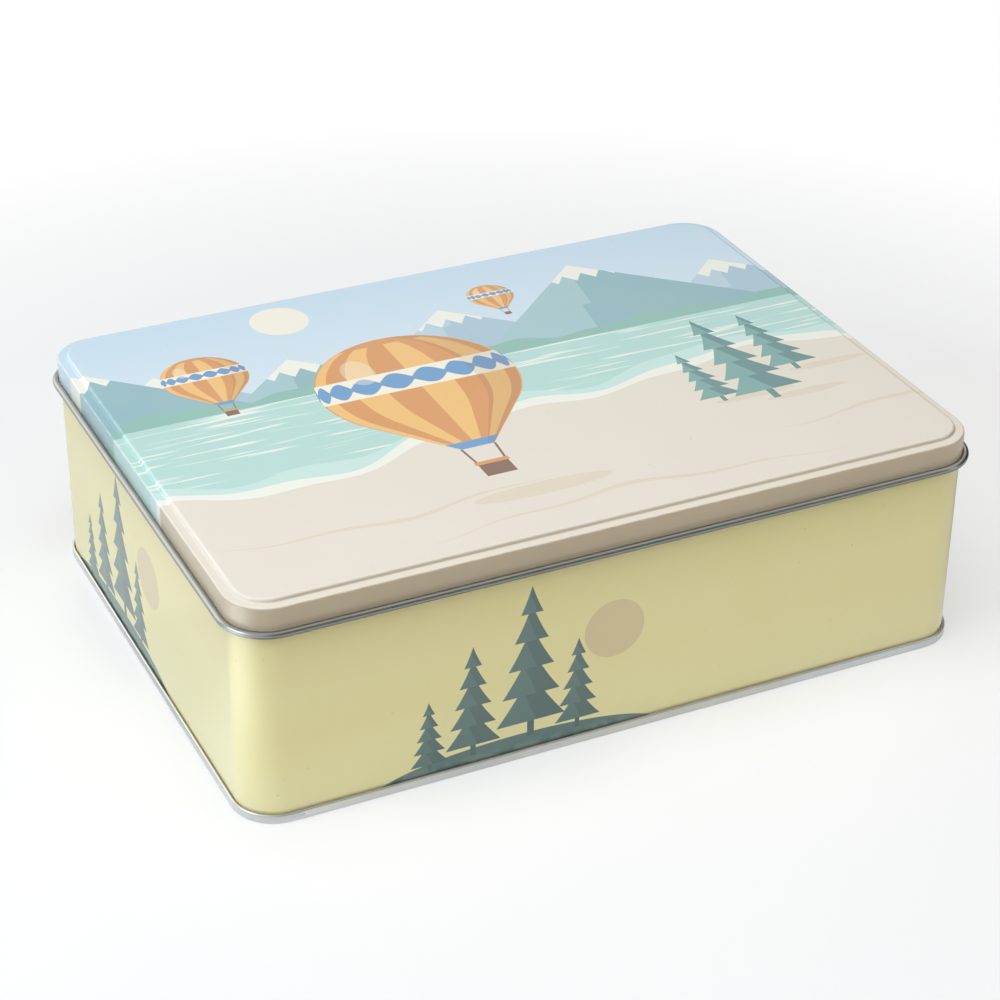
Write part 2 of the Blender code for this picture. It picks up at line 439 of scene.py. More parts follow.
class Wire:
    """One output socket of a material's nodes. Operators on it add Math nodes and give back new wires."""

    def __init__(self, tree, socket=None):
        self.tree = tree
        self.socket = socket

    def node(self, kind, inputs=None, output=0, **settings):
        """Adds a node with its settings, plugs in values or wires by socket name or number, and gives an output."""
        node = self.tree.nodes.new(kind)
        for name, value in settings.items():
            setattr(node, name, value)
        for name, value in (inputs or {}).items():
            if isinstance(value, Wire):
                self.tree.links.new(value.socket, node.inputs[name])
            else:
                node.inputs[name].default_value = value
        return Wire(self.tree, node.outputs[output])

    def maths(self, operation, *values, clamp=False):
        """Adds a Math node for some values or wires."""
        numbered = dict(enumerate(values))
        return self.node("ShaderNodeMath", numbered, operation=operation, use_clamp=clamp)

    def clamped(self):
        """The same value, held between 0 and 1."""
        return self.maths("ADD", self, 0, clamp=True)

    def __neg__(self):
        return self * -1

    __add__ = math_method("ADD")
    __radd__ = math_method("ADD", order=-1)
    __sub__ = math_method("SUBTRACT")
    __rsub__ = math_method("SUBTRACT", order=-1)
    __mul__ = math_method("MULTIPLY")
    __rmul__ = math_method("MULTIPLY", order=-1)
    __truediv__ = math_method("DIVIDE")
    __abs__ = math_method("ABSOLUTE")
    sine = math_method("SINE")
    root = math_method("SQRT")
    fraction = math_method("FRACT")
    largest = math_method("MAXIMUM")
    smallest = math_method("MINIMUM")


print("a wire has", sum(callable(value) for value in vars(Wire).values()), "methods")

# %% [markdown]
# ## Colours
# An ink is written as its value on a screen, which is easy to compare with a picture, and is turned into the
# linear value that light adds up in. A Math node would turn a colour grey, so colours are layered with Mix
# nodes: one ink is covered by the next as far as a mask says.

# %% Inks as numbers, and one ink over another
def srgb(red, green, blue):
    """A colour given as screen values from 0 to 255, as the linear values that a shader wants."""
    share = np.array([red, green, blue]) / 255
    linear = np.where(share <= 0.04045, share / 12.92, ((share + 0.055) / 1.055) ** 2.4)
    return (*linear.tolist(), 1.0)


def mixed(mask, under, over):
    """The colour under, covered by the colour over as far as the mask says."""
    wire = next(part for part in (mask, under, over) if isinstance(part, Wire))
    return wire.node("ShaderNodeMix", {0: mask, 6: under, 7: over}, output=2, data_type="RGBA", clamp_factor=True)


print("screen grey 188 is", round(srgb(188, 188, 188)[0], 3), "linear")

# %% [markdown]
# ## Shapes in ink
# Every printed shape is a distance: below zero inside, above zero outside. A mask comes from the distance
# with an edge as soft as a printed one, about a tenth of a millimetre, which also keeps the edge smooth when
# the picture is baked. Two shapes are joined by their smaller distance and cut by their larger one.

# %% Printed shapes
INK_EDGE = 0.00012


def inside(distance):
    """A mask: 1 where the distance in metres is below zero, 0 where it is above, soft over an ink edge."""
    return distance.maths("MULTIPLY_ADD", distance, -1 / INK_EDGE, 0.5, clamp=True)


def lay(colour, *coats):
    """Lays inks over a colour, one after another. A coat (distance, ink) covers where its distance is below zero."""
    for distance, ink in coats:
        colour = mixed(inside(distance), colour, ink)
    return colour


def disc(x, y, place, radius):
    """The distance outside a circle: the root of (x - a)^2 + (y - b)^2, less the radius."""
    across = x - place[0]
    up = y - place[1]
    return (across * across + up * up).root() - radius


def oval(x, y, place, half_width, half_height):
    """About the distance outside an ellipse: a circle's formula in x and y each divided by its half size."""
    across = (x - place[0]) / half_width
    up = (y - place[1]) / half_height
    return ((across * across + up * up).root() - 1) * min(half_width, half_height)


def waves(x, level, *swells):
    """A line's height at x: a level, plus a sum of swells a sin(2 pi x / l + p), for each (a, l, p)."""
    height = level
    for size, length, phase in swells:
        height = (x * (math.tau / length) + phase).sine() * size + height
    return height


print("an ink's edge is", INK_EDGE, "metres wide")

# %% [markdown]
# ## Firs
# The same tree stands on the lid and on the walls, so it is one function. Going down from its tip, a fir
# widens evenly, and each tier of branches starts narrower than the last one ended. That is a straight line
# plus a saw wave. The side away from the light gets a darker ink, as a printed picture has.

# %% A fir
FIR_TIERS = 5
TRUNK_SHARE = 0.10
TRUNK_HALF_SHARE = 0.05
SHADE_WOBBLE = 0.16


def fir(colour, x, y, foot, height, width, light, dark):
    """Draws a fir on a colour. t runs from 0 at the tip to 1 at the lowest branches.

    The half width is w (0.5 t + 0.5 saw(5 t) (0.3 + 0.7 t)), where saw is the part after the point.
    """
    across = x - foot[0]
    branches = height * (1 - TRUNK_SHARE)
    t = (foot[1] + height - y) / branches
    saw = (t * FIR_TIERS).fraction()
    half = (t * 0.5 + saw * 0.5 * (t * 0.7 + 0.3)) * (width / 2)
    ends = (t * -branches).largest((t - 1) * branches)
    crown = (abs(across) - half).largest(ends)
    trunk_ends = abs(y - (foot[1] + height * TRUNK_SHARE)) - height * TRUNK_SHARE
    trunk = (abs(across) - width * TRUNK_HALF_SHARE).largest(trunk_ends)
    shaded = crown.largest((saw - 0.5) * width * SHADE_WOBBLE - across)
    return lay(colour, (trunk, dark), (crown, light), (shaded, dark))


print("tiers on a fir:", FIR_TIERS)

# %% [markdown]
# ## The balloon
# The lid's picture needs one large warm shape. A hot-air balloon is a circle that is drawn in along two
# tangents to a narrow mouth. Its gores are stripes of equal longitude: the share of the way across is the
# sine of the longitude, so the stripes come closer together towards its edges, as they do on a real one. Its
# sizes are shares of its radius.

# %% A hot-air balloon
TANGENT = math.radians(40)
MOUTH = 1.36
BASKET_TOP = 1.66
BASKET_FOOT = 1.90
BASKET_HALF = 0.15
BELT_MIDDLE = 0.12
BELT_HALF = 0.20
RIBBON_HALF = 0.03
ZIGZAG = 0.13
CAP_FROM = 0.88
MOUTH_BAND = 0.13
GORES = 9
STRIPE_EDGE = 0.12
SHADE_FROM = 0.62
SHINE = ((-0.45, 0.42), 0.16, 0.26)
ROPE_PLACE = 0.17
ROPE_DRAWN_IN = 0.03
ROPE_HALF = 0.012
RAIL_HALF = 0.03
RAIL_OVERHANG = 0.02


def balloon(colour, x, y, place, radius, inks):
    """Draws a balloon on a colour. u and v are the places across and up, in radii from its middle.

    The half width is root(1 - m^2) + tan(40) min(v + sin 40, 0), where m is v but no lower than -sin 40.
    """
    u = (x - place[0]) / radius
    v = (y - place[1]) / radius
    tangent_point = math.sin(TANGENT)
    m = v.largest(-tangent_point)
    circle = (1 - m * m).largest(0).root()
    half = circle + (v + tangent_point).smallest(0) * math.tan(TANGENT)
    envelope = (abs(u) - half).largest(-MOUTH - v).largest(v - 1) * radius
    longitude = u.maths("ARCSINE", (u / half.largest(0.05)).largest(-1).smallest(1))
    stripes = (longitude * GORES).sine()
    gold, orange, cream, blue, brown = inks
    from_belt = abs(v - BELT_MIDDLE)
    belt = (from_belt - BELT_HALF) * radius
    ribbon = (from_belt - abs(stripes) * ZIGZAG - RIBBON_HALF) * radius
    cap = (CAP_FROM - v) * radius
    band = (v + MOUTH - MOUTH_BAND) * radius
    stripe = stripes * (radius * STRIPE_EDGE)
    skin = lay(gold, (stripe, orange), (belt, cream), (ribbon, blue), (cap, orange), (band, blue))
    skin = mixed(inside((SHADE_FROM - longitude) * radius) * 0.22, skin, brown)
    skin = mixed(inside(oval(u, v, *SHINE) * radius) * 0.35, skin, cream)

    rope_share = (-v - MOUTH) / (BASKET_TOP - MOUTH)
    ropes = abs(abs(u) - (ROPE_PLACE - rope_share * ROPE_DRAWN_IN)) - ROPE_HALF
    ropes = ropes.largest(-v - BASKET_TOP).largest(v + MOUTH) * radius
    basket_v = abs(v + (BASKET_TOP + BASKET_FOOT) / 2) - (BASKET_FOOT - BASKET_TOP) / 2
    basket = (abs(u) - BASKET_HALF).largest(basket_v) * radius
    rail = (abs(u) - BASKET_HALF - RAIL_OVERHANG).largest(abs(v + BASKET_TOP) - RAIL_HALF) * radius
    return lay(colour, (ropes, brown), (basket, brown), (rail, orange), (envelope, skin))


print("a balloon is", BASKET_FOOT + 1, "radii tall")

# %% [markdown]
# ## The picture on the lid
# Such tins carry a flat picture in a few soft inks, here pale blue, blue-green, sand and gold. The design is
# made up for this lesson: balloons over a lake below mountains. It is a formula of x and y alone, so past the
# lid's shoulder it carries on down the skirt, as it does on a real drawn sheet.

# %% Inks of the lid, and its mountains
SKY_HIGH = srgb(193, 219, 234)
SKY_LOW = srgb(214, 229, 237)
SUN = srgb(244, 240, 222)
FAR_ROCK = srgb(183, 208, 220)
FAR_SHADE = srgb(166, 195, 210)
NEAR_ROCK = srgb(158, 196, 200)
NEAR_SHADE = srgb(136, 179, 186)
SNOW = srgb(241, 242, 230)
FOREST = srgb(133, 184, 172)
LAKE = srgb(178, 217, 209)
LAKE_LIGHT = srgb(198, 228, 220)
FOAM = srgb(240, 242, 229)
SAND = srgb(229, 221, 205)
SAND_SHADE = srgb(223, 210, 188)
# The next two inks paint shade on the lid's skirt: a darker sand, and a blue grey that every ink there is mixed with.
SKIRT_SAND_SHADE = srgb(199, 179, 144)
SKIRT_SHADE_INK = srgb(96, 112, 124)
FIR_LIGHT = srgb(112, 163, 157)
FIR_DARK = srgb(84, 132, 130)
GOLD = srgb(240, 188, 106)
ORANGE = srgb(214, 145, 72)
CREAM = srgb(248, 241, 219)
RIBBON_BLUE = srgb(92, 150, 198)
BROWN = srgb(116, 76, 52)
BALLOON_INKS = (GOLD, ORANGE, CREAM, RIBBON_BLUE, BROWN)

WATER_LINE = 0.021
PEAK_SLOPE = 0.92
PEAKS = (
    (-0.104, 0.054, FAR_ROCK, FAR_SHADE),
    (0.004, 0.061, FAR_ROCK, FAR_SHADE),
    (0.112, 0.058, FAR_ROCK, FAR_SHADE),
    (-0.058, 0.048, NEAR_ROCK, NEAR_SHADE),
    (0.062, 0.075, NEAR_ROCK, NEAR_SHADE),
    (-0.128, 0.068, NEAR_ROCK, NEAR_SHADE),
)
SNOW_DEPTH = 0.013
CRAG_LENGTH = 0.0075
CRAG_SIZE = 0.0026
RIDGE_LEAN = 0.30


def mountains(colour, x, y):
    """Draws the peaks. Each is a triangle y < top - slope |x - a|, with a shaded side and a ragged cap of snow."""
    crags = x.maths("PINGPONG", x, CRAG_LENGTH / 2) * (2 * CRAG_SIZE / CRAG_LENGTH)
    for place, top, rock, shade in PEAKS:
        across = x - place
        rock_face = y - top + abs(across) * PEAK_SLOPE
        ridge = (y - top) * RIDGE_LEAN - across + crags * 1.4
        cap = (top - SNOW_DEPTH) - y + crags * 2
        colour = lay(colour, (rock_face, rock), (rock_face.largest(ridge), shade), (rock_face.largest(cap), SNOW))
    return colour


print("peaks:", len(PEAKS))

# %% [markdown]
# ## Water and shore
# Still water in a print is one flat ink with long thin glints in a paler one. They could be drawn one by
# one, but a noise pattern stretched sideways and cut at a level gives hundreds at once, and letting the
# level rise away from the far bank keeps most of them where the light would fall. The shore is the same wavy
# line used three times at growing heights: sand, foam and shallow water.

# %% Water and shore
FAR_BANK = (WATER_LINE + 0.006, (0.0022, 0.061, 0.4), (0.0011, 0.023, 2.0))
GLINT_STRETCH = (28, 560)
GLINTS = ((0.56, LAKE_LIGHT), (0.63, FOAM))
GLINT_EDGE = 0.002
GLINT_FALL = 2.4


def water(colour, x, y, edge):
    """Draws the lake below the far bank, with glints where a noise of (28 x, 560 y) is above a level.

    edge is 0 on the top of the lid and 1 on its skirt. The level rises with it, so no glint runs down the skirt.
    """
    colour = lay(colour, (y - waves(x, *FAR_BANK), FOREST))
    on_lake = inside(y - WATER_LINE)
    colour = mixed(on_lake, colour, LAKE)
    place = x.node("ShaderNodeCombineXYZ", {0: x * GLINT_STRETCH[0], 1: y * GLINT_STRETCH[1], 2: 0.0})
    glint = x.node("ShaderNodeTexNoise", {"Vector": place, "Scale": 1.0, "Detail": 1.0}, noise_dimensions="2D")
    rise = (WATER_LINE - y) * GLINT_FALL + edge
    for level, ink in GLINTS:
        colour = mixed(inside((rise + level - glint) * GLINT_EDGE) * on_lake, colour, ink)
    return colour


SHORE = (-0.022, (0.0100, 0.330, 0.2), (0.0040, 0.118, 2.6), (0.0014, 0.043, 1.0))
SHALLOWS = (0.0095, (0.0024, 0.071, 2.2))
FOAM_REACH = (0.0042, (0.0012, 0.052, 0.3))
DUNES = ((-0.062, -0.066, 0.060), (-0.079, 0.010, 0.078), (-0.060, 0.118, 0.050))
DUNE_SWELLS = ((0.0032, 0.150, 1.4), (0.0012, 0.047, 0.2))
DUNE_HALF_WIDTH = 0.0011


def shore(colour, x, y, edge):
    """Draws the near bank, and dune lines that are thickest in the middle: half width w (1 - |x - a| / r)."""
    above_line = y - waves(x, *SHORE)
    shallows = above_line - waves(x, *SHALLOWS)
    foam = above_line - waves(x, *FOAM_REACH)
    # On the skirt the sand is a darker ink, as painted shade.
    colour = lay(colour, (shallows, LAKE_LIGHT), (foam, FOAM), (above_line, mixed(edge, SAND, SKIRT_SAND_SHADE)))
    for level, middle, reach in DUNES:
        taper = 1 - abs(x - middle) / reach
        crest = waves(x, level, *DUNE_SWELLS)
        colour = lay(colour, (abs(y - crest) - taper * DUNE_HALF_WIDTH, SAND_SHADE))
    return colour


print("dune lines:", len(DUNES))

# %% [markdown]
# ## From back to front
# The sky fades downward between two inks. Then come the sun, the mountains, the lake and its near bank, the
# firs with their shadows, and the balloons. On the skirt every ink is darkened, as painted shade.

# %% The whole picture on the lid
LID_FIRS = (((0.098, -0.030), 0.044, 0.019), ((0.064, -0.040), 0.036, 0.016), ((0.081, -0.045), 0.062, 0.026))
BALLOONS = (((0.026, 0.064), 0.0085), ((-0.088, 0.047), 0.0150), ((-0.024, 0.014), 0.0350))
SUN_DISC = ((-0.050, 0.076), 0.0105)
FIR_SHADOW = (0.015, 0.0020)
FIR_SHADOW_SHIFT = 0.011
BALLOON_SHADOW = ((-0.016, -0.066), 0.024, 0.0038)
SKIRT_SHADE_SHARE = 0.14


def lid_picture(x, y, edge):
    """The whole picture, painted from back to front. All of it gets a painted shade where edge is 1, on the skirt."""
    height = ((y - WATER_LINE) / (lid_half[1] - WATER_LINE)).clamped()
    colour = lay(mixed(height, SKY_LOW, SKY_HIGH), (disc(x, y, *SUN_DISC), SUN))
    colour = water(mountains(colour, x, y), x, y, edge)
    colour = shore(colour, x, y, edge)
    for foot, tall, wide in LID_FIRS:
        shadow = (foot[0] + FIR_SHADOW_SHIFT, foot[1])
        colour = lay(colour, (oval(x, y, shadow, *FIR_SHADOW), SAND_SHADE))
        colour = fir(colour, x, y, foot, tall, wide, FIR_LIGHT, FIR_DARK)
    colour = lay(colour, (oval(x, y, *BALLOON_SHADOW), SAND_SHADE))
    for place, radius in BALLOONS:
        colour = balloon(colour, x, y, place, radius, BALLOON_INKS)
    # Painted shade: the whole skirt is darkened toward a blue grey.
    return mixed(edge * SKIRT_SHADE_SHARE, colour, SKIRT_SHADE_INK)


print("firs:", len(LID_FIRS), "balloons:", len(BALLOONS))

# %% [markdown]
# ## The picture on the walls
# Each wall is a pale yellow, with firs on a low hill in dark blue-green, and a dusty disc beside them. The
# yellow is painted lighter at the foot, as painted light, and deeper under the lid, as painted shade. The
# picture is drawn once, in the distance along a wall and the height. Which wall a place is on follows from
# whether it is nearer the end walls or the long ones, and a sign keeps the picture from being mirrored.

# %% Inks of the walls, and their picture
# The first and the third yellow here are painted shade under the lid and painted light at the foot.
WALL_UNDER_LID_SHADED = srgb(226, 211, 143)
WALL_YELLOW = srgb(234, 223, 159)
WALL_FOOT_LIT = srgb(239, 230, 172)
WALL_DISC = srgb(217, 199, 152)
WALL_FIR = srgb(91, 121, 116)
WALL_SHADE = srgb(80, 107, 104)
WALL_FIRS = ((0, 0.056, 0.024), (-0.0200, 0.041, 0.019), (0.0165, 0.034, 0.016), (-0.0350, 0.026, 0.013))
GROUND = 0.0075
HILL = ((-0.004, GROUND - 0.009), 0.052, 0.0105)
HILL_FALL = 0.10
DISC_ON_WALL = ((0.0290, 0.0400), 0.0105)
WALL_SHADING_FROM = 0.045
WALL_FADE = 0.030
PLACE_SHARE = -0.26


def wall_distance(x, y):
    """The distance to the right along the wall that a place is on, from a quarter of the wall left of its middle.

    On the long walls it is -sign(y) x and on the end walls sign(x) y, each less its share of the wall's half.
    """
    on_end = x.maths("GREATER_THAN", abs(x) - abs(y), body_half[0] - body_half[1])
    along_long = y.maths("SIGN", y) * x * -1 - PLACE_SHARE * body_half[0]
    along_end = x.maths("SIGN", x) * y - PLACE_SHARE * body_half[1]
    return along_long + on_end * (along_end - along_long)


def wall_picture(x, y, z):
    """The disc, the hill and the firs, painted from back to front. The hill is an oval cut by the seam."""
    s = wall_distance(x, y)
    # Painted light at the foot and painted shade under the lid, over the plain yellow.
    colour = mixed((z / WALL_FADE).clamped(), WALL_FOOT_LIT, WALL_YELLOW)
    colour = mixed(((z - WALL_SHADING_FROM) / WALL_FADE).clamped(), colour, WALL_UNDER_LID_SHADED)
    colour = lay(colour, (disc(s, z, *DISC_ON_WALL), WALL_DISC), (oval(s, z, *HILL), WALL_FIR))
    for place, tall, wide in WALL_FIRS:
        foot = (place, GROUND - abs(place) * HILL_FALL)
        colour = fir(colour, s, z, foot, tall, wide, WALL_FIR, WALL_SHADE)
    return colour


print("firs on each wall:", len(WALL_FIRS))

# %% [markdown]
# ## Parts that every finish uses
# Each material starts from the same few things: its shader, the place on the object in metres, noise on that
# place, and a bump. Object coordinates are used and no others, because each piece's object sits at the
# origin, so a pattern keeps its scale and carries on from one piece to the next. The bump takes real heights.

# %% Material helpers
def start_material(name):
    """A new material, its Principled shader, and wires for the object's x, y and z."""
    material = bpy.data.materials.new(name)
    material.use_nodes = True
    tree = material.node_tree
    shader = tree.nodes["Principled BSDF"]
    place = Wire(tree).node("ShaderNodeTexCoord", output="Object")
    split = place.node("ShaderNodeSeparateXYZ", {0: place}).socket.node
    return material, shader, place, [Wire(tree, socket) for socket in split.outputs]


def plug(shader, **sockets):
    """Links wires to the shader's sockets, or sets their values. An underscore in a name stands for a space."""
    for name, value in sockets.items():
        socket = shader.inputs[name.replace("_", " ")]
        if isinstance(value, Wire):
            value.tree.links.new(value.socket, socket)
        else:
            socket.default_value = value


def noise(place, scale, detail=2.0, stretch=(1, 1, 1)):
    """A noise from 0 to 1 over the object's own coordinates, which are multiplied by a stretch first."""
    stretched = place.node("ShaderNodeVectorMath", {0: place, 1: stretch}, operation="MULTIPLY")
    return place.node("ShaderNodeTexNoise", {"Vector": stretched, "Scale": scale, "Detail": detail})


def bumped(place, *heights):
    """A normal for the sum of some heights, in metres."""
    total = heights[0]
    for height in heights[1:]:
        total = total + height
    return place.node("ShaderNodeBump", {"Height": total, "Strength": 1.0, "Distance": 1.0}, output="Normal")


print("helpers:", [helper.__name__ for helper in (start_material, plug, noise, bumped)])

# %% [markdown]
# ## Printed lacquer
# Over the ink lies a clear lacquer, baked on. It has a faint orange peel, the sheet below it is not quite
# flat, and handling rubs it thin along the edges; on the lid's edges that paler ink also stands as a painted
# highlight. All of that goes into one function for both prints: the colour changes by a few parts in a
# hundred and the roughness more. A coat on the shader stands for the lacquer's own gloss.

# %% The lacquer
PEEL_SCALE = 700
PEEL_HEIGHT = 0.0000022
WAVE_SCALE = 14
WAVE_HEIGHT = 0.00014
SPECK_SCALE = 650
CLOUD_SCALE = 24
WEAR_SCALE = 160
SCUFF_STRETCH = (30, 900, 900)
WORN_DEPTH = 0.000004
THIN_INK = srgb(255, 250, 238)
SPECK = srgb(128, 118, 92)
BARED_AND_SHEEN = srgb(226, 224, 214)


def lacquered(shader, place, ink, rubbed_and_sheen):
    """Finishes a print: ink in a coat of lacquer. The last mask says where handling has thinned it, and on the lid's
    edges that paler ink is also a painted highlight.
    """
    cloud = noise(place, CLOUD_SCALE)
    speck = noise(place, SPECK_SCALE, detail=0.0)
    scuff = noise(place, 1.0, stretch=SCUFF_STRETCH)
    wear_and_sheen = rubbed_and_sheen * ((noise(place, WEAR_SCALE) - 0.46) * 9).clamped()
    colour = mixed((cloud - 0.35) * 0.10, ink, THIN_INK)
    colour = mixed((speck - 0.83) * 2.5, colour, SPECK)
    # Paler thinned ink: wear, and on the lid's edges also a painted highlight.
    colour = mixed(wear_and_sheen * 0.42, colour, BARED_AND_SHEEN)
    roughness = 0.33 + (cloud - 0.5) * 0.10 + ((scuff - 0.66) * 6).clamped() * 0.20 + wear_and_sheen * 0.18
    peel = noise(place, PEEL_SCALE, detail=1.0) * PEEL_HEIGHT
    sway = noise(place, WAVE_SCALE, detail=0.0) * WAVE_HEIGHT
    plug(
        shader,
        Base_Color=colour,
        Roughness=roughness,
        Normal=bumped(place, peel, sway, wear_and_sheen * -WORN_DEPTH),
        Coat_Weight=0.50 - wear_and_sheen * 0.35,
        Coat_Roughness=0.09,
        Specular_IOR_Level=0.45,
    )


print("the peel is", PEEL_HEIGHT * 1e6, "thousandths of a millimetre deep, and wear", WORN_DEPTH * 1e6)

# %% [markdown]
# ## Where it is rubbed, and where light and shade are painted
# Wear shows first on the round edges that hands and shelves touch. A mask for them could come from the
# mesh's curvature, but then it would change with the mesh. Here it comes from the tin's own sizes. Round a
# bend, the distance outward plus the distance down grows evenly, whatever the bend's radius, and is zero
# halfway round. On the lid's edges the paler ink of that wear also stands as a painted highlight. A brown
# ink paints shade into the creases: at the foot of the lid's panel, faded out at the left end where that
# slope is lit, and just over the seam. Where the lid's skirt runs into its curl a pale ink is painted over
# the print, as painted light that keeps that crease from looking as dark as its shade.

# %% Masks for edges, and two printed materials
def outside_plan(x, y, half, corner):
    """The distance outside a rectangle with round corners.

    It is |max(q, 0)| + min(max(q), 0) - r, where q = |p| - h + r.
    """
    over_x = abs(x) - (half[0] - corner)
    over_y = abs(y) - (half[1] - corner)
    clear_x = over_x.largest(0)
    clear_y = over_y.largest(0)
    return (clear_x * clear_x + clear_y * clear_y).root() + over_x.largest(over_y).smallest(0) - corner


def along_edge(distance, drop, radius):
    """A mask round a bend: 1 - |d + drop| / r, which is 1 halfway round it and 0 at its ends."""
    return (1 - abs(distance + drop) / radius).clamped()


def below(z, height, run_up):
    """A mask that is 1 up to a height and falls to 0 over a run above it: 1 - (z - height) / run, clamped."""
    return (1 - (z - height) / run_up).clamped()


# A brown ink for painted shade in creases: at the foot of the lid's panel slope, just over the wall's seam, and along
# the top of the seam.
CREASE_SHADE = srgb(134, 112, 66)
# A pale ink, and where it lies, painted as light into the crease where the lid's skirt runs into its curl, against
# the shade there.
CREASE_LIGHT_INK = srgb(250, 238, 210)
CREASE_LIGHT_FROM = 0.0006
CREASE_LIGHT_RUN = 0.0016
WALL_SEAM_SHADE_RUN = 0.0010
SEAM_WEAR_RUN = 0.0030
# Near the left end, where the panel's slope is lit, the painted shade at its foot fades out over these.
LIT_END_FROM = 0.004
LIT_END_RUN = 0.012
lid_print, shader, place, (x, y, z) = start_material("lid_print")
out = outside_plan(x, y, lid_half, lid_corner)
shoulder = along_edge(out, margin_height - z, SHOULDER_RADIUS)
panel_edge = along_edge(out + MARGIN_WIDTH + PANEL_RISER_RUN, panel_height - z, PANEL_EDGE_RADIUS)
on_skirt = ((out + margin_height - z) / SHOULDER_RADIUS + 0.5).clamped()
# Painted shade along the foot of the lid's panel slope, faded out at the lit left end.
riser_shade_mask = along_edge(out + MARGIN_WIDTH + PANEL_RISER_RUN * 0.3, 0, PANEL_RISER_RUN)
away_from_lit_end = ((x + lid_half[0] - LIT_END_FROM) / LIT_END_RUN).clamped()
ink = mixed(riser_shade_mask * away_from_lit_end * 0.45, lid_picture(x, y, on_skirt), CREASE_SHADE)
# Painted light: the pale ink lightens the crease just above the lid's curl.
ink = mixed(below(z, curl_height + CREASE_LIGHT_FROM, CREASE_LIGHT_RUN) * 0.65, ink, CREASE_LIGHT_INK)
# The lid's shoulder and panel edge are worn, and their paler ink is also a painted highlight.
lacquered(shader, place, ink, shoulder.largest(panel_edge * 0.7))

wall_print, shader, place, (x, y, z) = start_material("wall_print")
# Painted shade: a brown line on the wall just above the seam.
ink = mixed(below(z, SEAM_HEIGHT, WALL_SEAM_SHADE_RUN) * 0.20, wall_picture(x, y, z), CREASE_SHADE)
lacquered(shader, place, ink, below(z, SEAM_HEIGHT, SEAM_WEAR_RUN) * 0.4)
print("nodes in the lid's print:", len(lid_print.node_tree.nodes), "and the wall's:", len(wall_print.node_tree.nodes))

# %% [markdown]
# ## Bare tinplate
# The curls, the seam and the inside are steel with a film of tin. It is a soft grey mirror that keeps the
# fine lines of the rolls it passed through. The lines are a noise stretched along the sheet's length, and
# they go into the roughness and the bump. A little dull bloom keeps it from looking chromed. The lid's tin
# is a darker grey, as painted shade, and under its curl a near black is painted as the shade there, while the
# seam at the foot is the brightest tin, with a brown line of painted shade along its top. One function makes
# the three, from two colours and the heights of the painted shade.

# %% The tinplate
ROLL_STRETCH = (60, 2400, 2400)
ROLL_DEPTH = 0.0000006
BLOOM_SCALE = 45
# The run over which the painted shade line on the seam's top comes in.
SEAM_LINE_SHADE_RUN = 0.0006
# The run and the near black of the painted shade under the lid's curl.
CURL_SHADE_RUN = 0.0005
CURL_SHADE = srgb(84, 82, 76)


def tinplate(name, light, dark, seam_shade_from=None, curl_shade_below=None):
    """Bare tinplate, with roll lines along x.

    Outside the wall it gets a brown line of painted shade above one height, where the seam folds, or a near black of
    painted shade below another, under the curl.
    """
    material, shader, place, (x, y, z) = start_material(name)
    line = noise(place, 1.0, stretch=ROLL_STRETCH)
    bloom = noise(place, BLOOM_SCALE)
    colour = mixed((bloom - 0.42) * 1.6, light, dark)
    ring = (outside_plan(x, y, body_half, CORNER_RADIUS) / SHEET).clamped()
    # Painted shade: a brown line along the top of the seam, outside the wall.
    if seam_shade_from:
        colour = mixed(((z - seam_shade_from) / SEAM_LINE_SHADE_RUN).clamped() * ring * 0.20, colour, CREASE_SHADE)
    # Painted shade: near black under the lid's curl.
    if curl_shade_below:
        colour = mixed(((curl_shade_below - z) / CURL_SHADE_RUN).clamped() * ring * 0.6, colour, CURL_SHADE)
    plug(
        shader,
        Base_Color=colour,
        Metallic=1.0,
        Roughness=0.30 + (line - 0.5) * 0.10 + (bloom - 0.5) * 0.14,
        Normal=bumped(place, line * ROLL_DEPTH, noise(place, WAVE_SCALE, detail=0.0) * WAVE_HEIGHT),
    )
    return material


tin = tinplate("bare_tinplate", srgb(208, 210, 210), srgb(190, 193, 192))
# The lid's tin is a darker grey than the rest of the tin, as painted shade.
lid_tin_shaded = tinplate("lid_tinplate_shaded", srgb(156, 156, 151), srgb(140, 141, 136), curl_shade_below=curl_height + 0.0002)
# The base's tin gets a painted shade line along the top of its seam.
base_tin = tinplate("base_tinplate", srgb(214, 215, 212), srgb(198, 199, 195), seam_shade_from=SEAM_HEIGHT - 0.0010)

for piece, printed, bare in ((lid, lid_print, lid_tin_shaded), (body, wall_print, tin), (base, base_tin, base_tin)):
    piece.data.materials.append(printed)
    piece.data.materials.append(bare)
print("materials:", sorted(material.name for material in bpy.data.materials if material.users))

# %% [markdown]
# ## Onto the frame
# The three pieces stand for the three CAD nodes. The lid rides on its own body, so it lifts when the joint
# moves. The base is seamed to the wall, so both ride on the body of the tin.

# %% Ride on the bodies
for piece, node, carrier in ((lid, "lid", "lid"), (body, "body_wall", "body"), (base, "base_plate", "body")):
    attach(piece, carrier)
    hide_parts(node)
    low = np.array(piece.bound_box).min(axis=0)
    high = np.array(piece.bound_box).max(axis=0)
    print(node, "millimetres over all:", np.round((high - low) * 1000, 2))

# %% [markdown]
# ## The camera
# The tin is seen from its front left and from above. The angles, the distance and the lens were fitted to
# the corners of the tin in the reference view. The camera looks along a line to the tin's middle, is
# rolled by half a degree, and is slid a little along its own axes to frame the tin.

# %% Camera
AZIMUTH = math.radians(-25.5393)
ELEVATION = math.radians(30.6126)
ROLL = math.radians(0.48357)
DISTANCE = 0.922382
SLIDE = (0.000281, 0.030520)
LENS = 94.764

